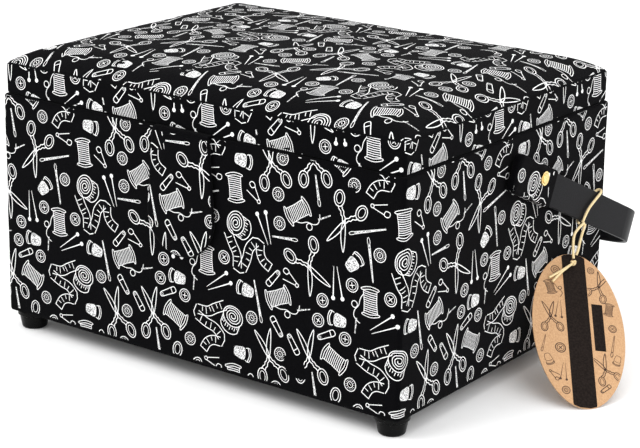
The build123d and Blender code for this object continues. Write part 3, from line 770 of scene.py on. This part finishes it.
# -------- lid
def arc_height(x, a, b, c):
    """Height at x of the upper arc through three points (x, height)."""
    d = 2 * (a[0] * (b[1] - c[1]) + b[0] * (c[1] - a[1]) + c[0] * (a[1] - b[1]))
    sa, sb, sc = (p[0] ** 2 + p[1] ** 2 for p in (a, b, c))
    cx = (sa * (b[1] - c[1]) + sb * (c[1] - a[1]) + sc * (a[1] - b[1])) / d
    cy = (sa * (c[0] - b[0]) + sb * (a[0] - c[0]) + sc * (b[0] - a[0])) / d
    return cy + math.sqrt(max(0.0, (a[0] - cx) ** 2 + (a[1] - cy) ** 2 - (x - cx) ** 2))


def crown(x, y):
    """Height of the padded top above the lid's band: steep shoulders and a flat middle, both ways."""
    run, rise, beyond = 34.0, 0.76 * CROWN, 1.5
    heights = []
    for at, half in ((abs(x), LID.half[0] + beyond), (abs(y), LID.half[1] + beyond)):
        if at > half - run:
            heights.append(arc_height(at, (half, -1.0), (half - 0.36 * run, 0.56 * rise),
                                      (half - run, rise)))
        else:
            heights.append(arc_height(at, (half - run, rise), (0.0, CROWN), (run - half, rise)))
    low, high = min(heights), max(heights)
    return low - math.log1p(math.exp((low - high) / 0.7)) * 0.7


def make_lid_cover():
    """Cloth over the foam crown, down the band and turned in under the rims."""
    low = LID_LOW[2] + 0.2
    edge = LID_EDGE_Z + 1.0

    def over(x, y):
        return edge + max(0.0, crown(x, y))

    section = [(8.9, low + 0.4), (8.0, low), (1.6, low), (0.6, low + 0.25), (0.15, low + 0.8)]
    section += [(0.0, z) for z in np.linspace(low + 1.8, LID_EDGE_Z - 0.6, 6)]
    section += [(0.05, edge - 0.5), (0.3, edge - 0.05), (0.7, edge + 0.15)]
    insets = [1.2, 1.9, 3.0, 4.4, 6.2, 8.4, 11.0, 14.0, 17.5, 21.5, 26.0, 31.0, 36.5, 42.5, 49.0, 56.0,
              63.5, 71.5, 80.0, 89.0, 98.5, 108.5, 116.0, LID.half[1] - 0.5]
    section += [(d, over) for d in insets]

    def wobble(p, inset):
        if inset > CORNER_R:
            calm = min(1.0, (inset - CORNER_R) / 15.0) if p[2] > LID_EDGE_Z else 0.0
            return calm * (ripple(p, 38.0, 0.5, 7.0) + ripple(p, 16.0, 0.14, 2.0))
        return 0.25 * ripple(p, 30.0, 1.0, 5.0) if inset == 0.0 else 0.0

    points, faces = ring_shell(LID, LID.stations(4.5), section, wobble, capped=True)
    faces = [f[::-1] for f in faces]  # outwards
    cover = make_mesh("lid_cloth", points, faces, "printed_fabric", "lid", ["lid_cover"])
    tidy_mesh(cover)
    thicken(cover, 0.6)
    return cover


def tidy_mesh(piece, distance=0.15):
    """Merges points that lie together and turns all faces outwards."""
    bm = bmesh.new()
    bm.from_mesh(piece.data)
    bmesh.ops.remove_doubles(bm, verts=bm.verts, dist=distance * MM)
    bmesh.ops.triangulate(bm, faces=[f for f in bm.faces if len(f.verts) > 4])
    bmesh.ops.recalc_face_normals(bm, faces=bm.faces)
    bm.to_mesh(piece.data)
    bm.free()
    piece.data.polygons.foreach_set("use_smooth", [True] * len(piece.data.polygons))


def print_lid(cover, notions):
    """The band is a strip of its own, seamed to the top along the ridge."""
    low = LID_LOW[2] + 0.9
    print_strip("lid_print_band", cover, "lid", LID, notions, low, LID_EDGE_Z + 0.8, low - 58.0)

    reach = LID.half + (2.2, 2.2)  # the slope of the crown takes up a little cloth
    grid = list(np.arange(-reach[0], reach[0] + 0.1, 3.2))
    marks = trimmed(tiled(notions, -reach, reach, (31.0, 88.0)), -reach, reach, grid, grid)

    def place(p):
        x, y = (p * (LID.half - 0.9) / reach).T
        return np.stack([x, y, [LID_EDGE_Z + 1 + crown(a, b) for a, b in zip(x, y)]], 1)

    lay_ink("lid_print_top", marks, place, cover, "lid")


# -------- flap
def flap_outline():
    """The flap's edge as seen from the front (x, z), anticlockwise from its top left, and the point
    of the flap's spine that each of its points faces."""
    centre, half = (FLAP_LOW[0] + FLAP_HIGH[0]) / 2, (FLAP_HIGH[0] - FLAP_LOW[0]) / 2
    waist, top, taper = FLAP_LOW[2] + half, FLAP_HIGH[2], 4.0
    share = np.linspace(0, 1, 25)[:-1, None]
    left = (np.array([centre - half + taper, top]) * (1 - share)
            + np.array([centre - half, waist]) * share)
    a = np.radians(np.linspace(180, 360, 49))[:, None]
    round_end = np.concatenate([centre + half * np.cos(a), waist + half * np.sin(a)], 1)
    right = left[::-1] * (-1, 1) + (2 * centre, 0)
    across = np.linspace(centre + half - taper, centre - half + taper, 18)[1:-1, None]
    edge = np.concatenate([left, round_end, right, np.concatenate([across, across * 0 + top], 1)])
    return edge, np.stack([np.full(len(edge), centre), np.clip(edge[:, 1], waist, top - 12.0)], 1)


def drawn_in(edge, spine, inset):
    """The edge moved towards the spine, and no further than the spine."""
    way = spine - edge
    far = np.linalg.norm(way, axis=1, keepdims=True)
    return edge + way / far * np.minimum(inset, far)


def make_flap():
    """Stuffed cloth tongue: two layers turned in round the edge over thin wadding."""
    edge, spine = flap_outline()
    back = ((1.0, 0.0), (0.97, 0.0), (0.6, 0.0), (0.3, 0.0))  # share of the way to the spine, and depth
    rim = ((1.2, 0.05), (0.35, 0.35), (0.0, 1.1), (0.15, 1.7), (0.6, 2.2), (1.3, 2.5), (2.4, 2.6))
    front = ((0.14, 2.55), (0.2, 2.65), (0.3, 2.8), (0.42, 2.95), (0.56, 3.05), (0.72, 3.1), (0.86, 3.1),
             (1.0, 3.1))
    rings = [(edge * (1 - share) + spine * share, depth) for share, depth in back]
    rings += [(drawn_in(edge, spine, inset), depth) for inset, depth in rim]
    rings += [(edge * (1 - share) + spine * share, depth) for share, depth in front]
    points = []
    for ring, depth in rings:
        for x, z in ring:
            soft = ripple((x, 0, z), 17.0, 0.35, 4.0) if depth > 2.3 else 0.0
            points.append((x, FLAP_HIGH[1] - depth - soft, z))
    flap = make_mesh("flap_cloth", points, quads(len(rings), len(edge)), "printed_fabric", "flap",
                     ["flap_fabric"])
    tidy_mesh(flap, 0.05)
    return flap


def print_flap(flap, notions):
    low, high = FLAP_LOW[[0, 2]], FLAP_HIGH[[0, 2]]
    marks = trimmed(tiled(notions, low, high, (12.0, 47.0)), low, high,
                    outline=drawn_in(*flap_outline(), 0.35)[::3])
    lay_ink("flap_print", marks, lambda p: np.insert(p, 1, FLAP_LOW[1] - 1.0, axis=1), flap, "flap")


def make_flap_fold():
    """The cloth that comes out from under the lid's front rim and carries the flap."""
    centre, half = (FLAP_LOW[0] + FLAP_HIGH[0]) / 2, 22.5
    path = smooth([(-114.0, 152.35), (-118.5, 152.3), (-121.6, 152.3), (-123.6, 152.1), (-124.8, 151.2),
                   (-125.1, 149.4), (-125.0, 146.0)], steps=6)
    across = np.linspace(-half, half, 24)
    points = [(centre + x, y, z) for y, z in path for x in across]
    faces = [f[::-1] for f in quads(len(path), len(across), closed=False)]  # outwards
    fold = make_mesh("flap_fold", points, faces, "printed_fabric")
    thicken(fold, 0.4)
    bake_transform(fold)


# -------- handle sleeves
def make_sleeve(side):
    """Printed cloth folded round one end of the strap; its lower end is closed."""
    name = "right" if side > 0 else "left"
    node = "handle_sleeve_" + name
    low, high = box_mm(node)
    mid_x, half_x = (low[0] + high[0]) / 2, (high[0] - low[0]) / 2
    start, long, half_t, round_r = -9.0, 51.0, 12.5, 3.2
    points, rings = [], (0.0, 0.25, 0.8, 1.6, 2.6, 4.0, 7.0, 12.0, 18.0, 24.0, 30.0, 36.0, 41.0,
                         long - 0.35, long)
    for along in rings:
        tuck = round_r - math.sqrt(round_r ** 2 - max(0.0, round_r - along) ** 2)
        thin = 1.3 * max(0.0, 1 - along / 3.5) ** 2
        outline = Outline(half_x - thin, half_t - tuck, min(1.7, half_x - thin - 0.2))
        plan, outs = outline.at(outline.places((4, 5, 14, 5) * 2))
        s = start + along
        for (x, t), (out_x, out_t) in zip(plan, outs):
            soft = ripple((x, s, t), 9.0, 0.3, side) if 3.0 < s < 40.0 else 0.0
            points.append(along_strap(mid_x + x + out_x * soft, s, t + out_t * soft))
    faces = quads(len(rings), len(plan))
    faces.append(tuple(range(len(plan))))
    sleeve = make_mesh("sleeve_" + name, points, faces, "printed_fabric", "handle", [node])
    tidy_mesh(sleeve, 0.05)
    thicken(sleeve, 0.8)
    return sleeve


def print_sleeve(sleeve, side, notions):
    """The print covers the outside and turns round both long edges."""
    fold, depth = 12.2, 6.0
    low, high = np.array([-8.6, -fold - depth]), np.array([37.0, fold + depth])  # the hem is plain
    marks = trimmed(tiled(notions, low, high, (70.0 * side, 22.0)), low, high, cuts_y=(-fold, fold))

    def place(p):
        return np.array([along_strap(side * (STRAP_OUT + 2.0 - max(0.0, abs(t) - fold)), s,
                                     np.clip(t, -12.7, 12.7)) for s, t in p])

    lay_ink(sleeve.name.replace("sleeve", "sleeve_print"), marks, place, sleeve, "handle", proud=0.08)


# -------- tag
def bolder(quad, times):
    """A pen line's quad, made wider about its own middle line."""
    middle = (quad + quad[[1, 0, 3, 2]]) / 2
    return middle + (quad - middle) * times


def print_tag():
    """A dark band down the middle, a small dark label, and fine brown drawings."""
    hole_y, hole_r, half_band = TAG_LENGTH / 2 - 6.4, 2.1, 7.9
    marks = [(np.array([(9.9, -14.0), (17.3, -14.0), (17.3, 20.0), (9.9, 20.0)]), 0)]
    rows = [*np.arange(-55.6, 47.2, 1.4), *np.arange(47.2, 52.4, 0.26), 52.4, 53.6, 54.8, 55.7]
    for pair in zip(rows, rows[1:]):
        ends = [min(half_band, TAG_WIDTH / 2 * math.sqrt(1 - (2 * y / TAG_LENGTH) ** 2) - 0.25)
                for y in pair]
        gaps = [math.sqrt(max(0.0, hole_r ** 2 - (y - hole_y) ** 2)) for y in pair]
        for way in (-1, 1):
            marks.append((np.array([(way * gaps[0], pair[0]), (way * ends[0], pair[0]),
                                    (way * ends[1], pair[1]), (way * gaps[1], pair[1])]), 0))

    brown = []
    for drawing, x, y, turn, size in (
            (scissors(), 16.2, 33.5, 68, 0.62), (spool(False), 21.8, 17.0, -12, 0.5),
            (button(4), 23.0, 3.2, 0, 0.62), (needle(20), 22.2, -9.5, 78, 0.8),
            (scissors(24), 15.5, -27.0, 112, 0.62), (closed_pin(), 14.5, -41.0, 40, 0.62),
            (button(2), 11.6, 45.0, 0, 0.55), (spool(), -17.2, 29.5, 14, 0.55),
            (button(2), -12.8, 42.8, 0, 0.7), (scissors(), -18.6, 7.5, 96, 0.62),
            (needle(18), -24.6, -12.4, 74, 0.7), (button(4), -13.5, -14.5, 0, 0.8),
            (thimble(), -22.0, -23.5, 20, 0.6), (two_pins(), -12.4, -31.0, 84, 0.6),
            (open_pin(), -19.4, -34.5, -50, 0.6), (button(2), -12.0, -44.4, 0, 0.62),
            (thimble(), 24.2, -19.6, -20, 0.55), (two_pins(), -12.3, 14.0, 84, 0.62)):
        brown += [(bolder(p, 1.6) if len(p) == 4 else p, 1)
                  for p, ink in placed(drawing, x, y, turn, size) if ink == WHITE]
    limit = np.array([(0.975 * TAG_WIDTH / 2 * math.cos(a), 0.985 * TAG_LENGTH / 2 * math.sin(a))
                      for a in np.radians(np.arange(0, 360, 6))])
    for left, right in ((-TAG_WIDTH, -8.2), (8.2, TAG_WIDTH)):  # on both sides of the band
        marks += trimmed(brown, (left, -TAG_LENGTH), (right, TAG_LENGTH), outline=limit)

    centre = TAG_FOOT + TAG_UP * TAG_LENGTH / 2
    points, faces = [], []
    for p, ink in marks:
        faces.append(list(range(len(points), len(points) + len(p))))
        points += [centre + TAG_ACROSS * x + TAG_UP * y + TAG_OUT * (TAG_T / 2 + 0.05 + 0.01 * ink)
                   for x, y in p]
    decal = make_mesh("tag_print", points, faces, "kraft_card", "tag", materials=[DARK_INK, BROWN_INK])
    decal.data.polygons.foreach_set("material_index", [ink for _, ink in marks])
    face_outwards(decal, lambda spot: Vector(TAG_OUT))


# -------- inside the lid
def make_lid_lining():
    """Diamond-quilted satin over wadding, with plain skirts up the rims."""
    low, high = box_mm("lid_lining")
    outline = Outline((high[0] - low[0]) / 2 - 0.8, (high[1] - low[1]) / 2 - 0.8, 1.0)
    panel = high[2] - 5.0
    pocket_low, pocket_high = box_mm("lid_pocket")

    def quilt(x, y):
        puff = abs(math.sin(math.pi * (x + y) / 36.0) * math.sin(math.pi * (x - y) / 36.0)) ** 0.6
        near = min(outline.half[0] - abs(x), outline.half[1] - abs(y))
        past_pocket = max(pocket_low[0] - x, x - pocket_high[0], pocket_low[1] - y, y - pocket_high[1])
        pressed = min(1.0, max(0.1, 0.1 + past_pocket / 6.0))  # the sewn pocket holds it flat
        return panel - 2.2 * puff * min(1.0, near / 5.0) * pressed

    section = [(0.0, low[2] + 0.1), (0.0, low[2] + 3.0), (0.0, panel - 3.0), (0.25, panel - 1.0),
               (1.0, panel - 0.1)]
    section += [(d, quilt) for d in [*np.arange(2.2, outline.half[1] - 1.5, 2.6), outline.half[1] - 0.5]]
    points, faces = ring_shell(outline, outline.stations(2.8, 3), section, capped=True)
    lining = make_mesh("lid_quilting", points, faces, "satin_lining", "lid", ["lid_lining"])
    tidy_mesh(lining)


def make_pocket():
    """Gathered satin pocket under the lid, its mouth a narrow hem drawn in by elastic."""
    low, high = box_mm("lid_pocket")
    (wide, deep, _), top = high - low, high[2]
    columns, rows, pleats = 200, 44, 25
    points = []
    for v in np.arange(rows + 1) / rows:  # 0 at the mouth
        for u in np.arange(columns + 1) / columns:
            sides = 1 - abs(2 * u - 1) ** 10
            belly = (1 - v ** 4) * (0.6 + 0.4 * math.sin(math.pi * min(1.0, v * 1.15 + 0.12)))
            pleat = (math.sin(2 * math.pi * u * pleats + 1.3 * math.sin(9 * u))
                     * (0.45 + 2.2 * (v - 0.5) ** 2))
            depth = sides * (0.9 + 5.6 * belly + 1.25 * pleat * min(1.0, (1 - v) / 0.03))
            if 0.06 < v < 0.1:
                depth -= 1.3 * sides  # the stitched line above the hem
            points.append((low[0] + wide * u, low[1] + deep * v, top - 0.3 - max(0.0, depth)))
    pocket = make_mesh("lid_pocket_cloth", points, quads(rows + 1, columns + 1, closed=False),
                       "satin_lining", "lid", ["lid_pocket"])
    thicken(pocket, 0.4)


def make_cushion():
    low, high = box_mm("pin_cushion")
    middle, half = (low + high) / 2, (high - low) / 2
    outline = Outline(half[0], half[1], 10.0)
    tall = high[2] - low[2]
    section = [(0.6, high[2] + 0.3), (0.0, high[2] - 2.0)]
    section += [(half[0] * (1 - math.cos(a)) * 0.98, high[2] - 2.0 - (tall - 2.0) * math.sin(a) ** 0.75)
                for a in np.radians(np.arange(8, 91, 6.8))]
    stations = outline.stations(3.0, 7)
    points, faces = ring_shell(outline, stations, section, capped=True)
    faces.append(tuple(range(len(stations)))[::-1])
    cushion = make_mesh("cushion", points + (*middle[:2], 0.0), faces, "pin_cushion_fabric", "lid",
                        ["pin_cushion"])
    tidy_mesh(cushion, 0.05)


# -------- stage
def make_stage():
    """A wide pale floor, soft lights, and a white sky that meets it without an edge."""
    floor_z, reach, sides = cad_low.z / MM, 30000.0, 64
    rim = [(reach * math.cos(a), reach * math.sin(a), floor_z)
           for a in np.radians(np.arange(sides) * 360 / sides)]
    pale = surface("pale_floor", grey(0.93), grey(0.95), 40.0, 0.6, bump=0.0, gloss=0.2)
    make_mesh("floor", rim, [list(range(sides))], None, materials=[pale])

    for name, place, size, power in (("key", (-0.9, -1.5, 1.9), 1.3, 31.0),
                                     ("fill", (1.9, -0.8, 1.1), 1.6, 18.0),
                                     ("top", (0.1, 0.4, 2.2), 1.8, 16.0)):
        data = bpy.data.lights.new(name, "AREA")
        data.shape, data.size, data.energy = "SQUARE", size, power
        lamp = add_object(name, data)
        lamp.location = place
        lamp.rotation_mode = "QUATERNION"
        lamp.rotation_quaternion = (Vector((0, 0, 0.08)) - Vector(place)).to_track_quat("-Z", "Y")
    world = bpy.data.worlds.new("sky")
    world.use_nodes = True
    sky = world.node_tree.nodes["Background"].inputs
    sky["Color"].default_value = (1.0, 1.0, 1.0, 1.0)
    sky["Strength"].default_value = 1.0
    bpy.context.scene.world = world
    bpy.context.scene.view_settings.view_transform = "Standard"


make_camera()
make_cords()
finish_cad_nodes()
notions = notions_print()
# the body's unprinted black foot is partly the plain turned-under cloth and partly painted shade along
# the bottom edge
print_strip("body_print", make_body_cover(), "box", BODY, notions, PLAIN_FOOT_AND_SHADE, BODY_HIGH[2] - 0.8, 0.0)
print_lid(make_lid_cover(), notions)
print_flap(make_flap(), notions)
make_flap_fold()
for side in (-1, 1):
    print_sleeve(make_sleeve(side), side, notions)
print_tag()
make_lid_lining()
make_pocket()
make_cushion()
make_stage()
